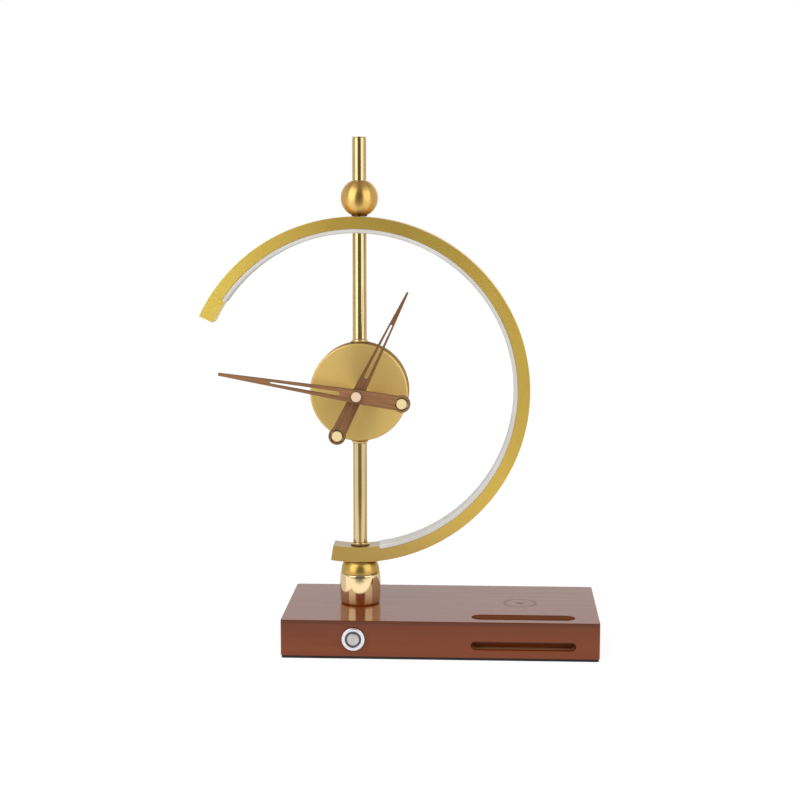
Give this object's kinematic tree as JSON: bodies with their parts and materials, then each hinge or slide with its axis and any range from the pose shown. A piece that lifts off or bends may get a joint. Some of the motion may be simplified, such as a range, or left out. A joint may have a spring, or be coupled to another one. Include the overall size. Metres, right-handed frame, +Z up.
{
  "type": "desk lamp clock",
  "caption": "Desk lamp with an open vertical light ring on a brass post, a round clock with wooden hands at its centre, and a wooden base with phone slots and a push button.",
  "frame": {"origin": "centre of the wooden base's underside, on the desk", "axes": "+Z up; +X to the viewer's right, from the post towards the phone slots; the clock faces -Y"},
  "size_m": [0.3846, 0.1559, 0.4895],
  "materials": {
    "lacquered_wood": "gloss lacquer on top, satin on the sides",
    "black_rubber": "matt",
    "black_plastic": "moulded, satin",
    "white_plastic": "moulded, satin",
    "smoked_plastic": "translucent, smoked",
    "steel": "brushed",
    "copper": "enamelled copper winding",
    "ferrite": "sintered",
    "circuit_board": "solder mask",
    "polished_brass": "polished",
    "satin_brass": "satin, brushed",
    "spun_brass": "circular brushed under gloss lacquer",
    "brass": "machined",
    "opal": "opal, diffusing",
    "led_strip": "flexible circuit with light-emitting diodes",
    "battery_label": "plain printed sleeve",
    "walnut": "oiled"
  },
  "bodies": {
    "lamp": {"base_block": "lacquered_wood", "bottom_plate": "steel", "base_pad": "black_rubber", "plate_screw_1": "steel", "plate_screw_2": "steel", "plate_screw_3": "steel", "plate_screw_4": "steel", "charging_coil": "copper", "coil_ferrite": "ferrite", "charger_board": "circuit_board", "driver_board": "circuit_board", "power_inlet": "black_plastic", "power_inlet_nut": "steel", "switch_housing": "steel", "switch_gasket": "black_rubber", "switch_light_ring": "smoked_plastic", "switch_nut": "steel", "switch_contact_block": "black_plastic", "barrel_collar": "polished_brass", "dome_collar": "satin_brass", "post_nipple": "steel", "nipple_washer": "steel", "nipple_nut": "steel", "ring_channel": "satin_brass", "ring_diffuser": "opal", "short_led_strip": "led_strip", "long_led_strip": "led_strip", "upper_end_block": "satin_brass", "lower_end_block": "satin_brass", "foot_flange": "satin_brass", "lower_rod": "satin_brass", "lower_case_flange": "satin_brass", "lower_case_bolt": "steel", "upper_case_flange": "satin_brass", "upper_case_bolt": "steel", "upper_rod": "satin_brass", "ball_nipple": "steel", "ball": "satin_brass", "top_rod": "satin_brass", "rod_plug": "satin_brass", "clock_case": "spun_brass", "movement_housing": "black_plastic", "movement_plate": "black_plastic", "bush_nut": "polished_brass", "battery": "battery_label"},
    "minute_train": {"minute_arbor": "brass", "minute_hub": "polished_brass", "minute_hand": "walnut", "minute_insert": "polished_brass", "hub_cap": "polished_brass"},
    "hour_train": {"hour_wheel": "brass", "hour_hub": "polished_brass", "hour_hand": "walnut", "hour_insert": "polished_brass"},
    "minute_wheel_body": {"minute_wheel": "white_plastic"},
    "knob": {"setting_knob": "black_plastic"},
    "button": {"switch_button": "steel"}
  },
  "joints": [
    {"name": "minute_hand_turn", "type": "hinge", "parent": "lamp", "child": "minute_train", "pos_m": [-0.08, 0, 0.2459], "axis": [0, 1, 0], "continuous": true},
    {"name": "hour_hand_turn", "type": "hinge", "parent": "lamp", "child": "hour_train", "pos_m": [-0.08, 0, 0.2459], "axis": [0, 1, 0], "continuous": true},
    {"name": "minute_wheel_turn", "type": "hinge", "parent": "lamp", "child": "minute_wheel_body", "pos_m": [-0.08849, 0, 0.25439], "axis": [0, 1, 0], "continuous": true},
    {"name": "setting_knob_turn", "type": "hinge", "parent": "lamp", "child": "knob", "pos_m": [-0.09697, 0, 0.26287], "axis": [0, 1, 0], "continuous": true},
    {"name": "power_button_press", "type": "slide", "parent": "lamp", "child": "button", "axis": [0, 1, 0], "range_m": [0, 0.0015], "stiffness_N_per_m": 1000, "springref_m": -0.002}
  ],
  "couplings": [
    {"joint": "hour_hand_turn", "follows": "minute_hand_turn", "ratio": 0.083333},
    {"joint": "minute_wheel_turn", "follows": "minute_hand_turn", "ratio": -0.33333},
    {"joint": "setting_knob_turn", "follows": "minute_hand_turn", "ratio": 1}
  ]
}
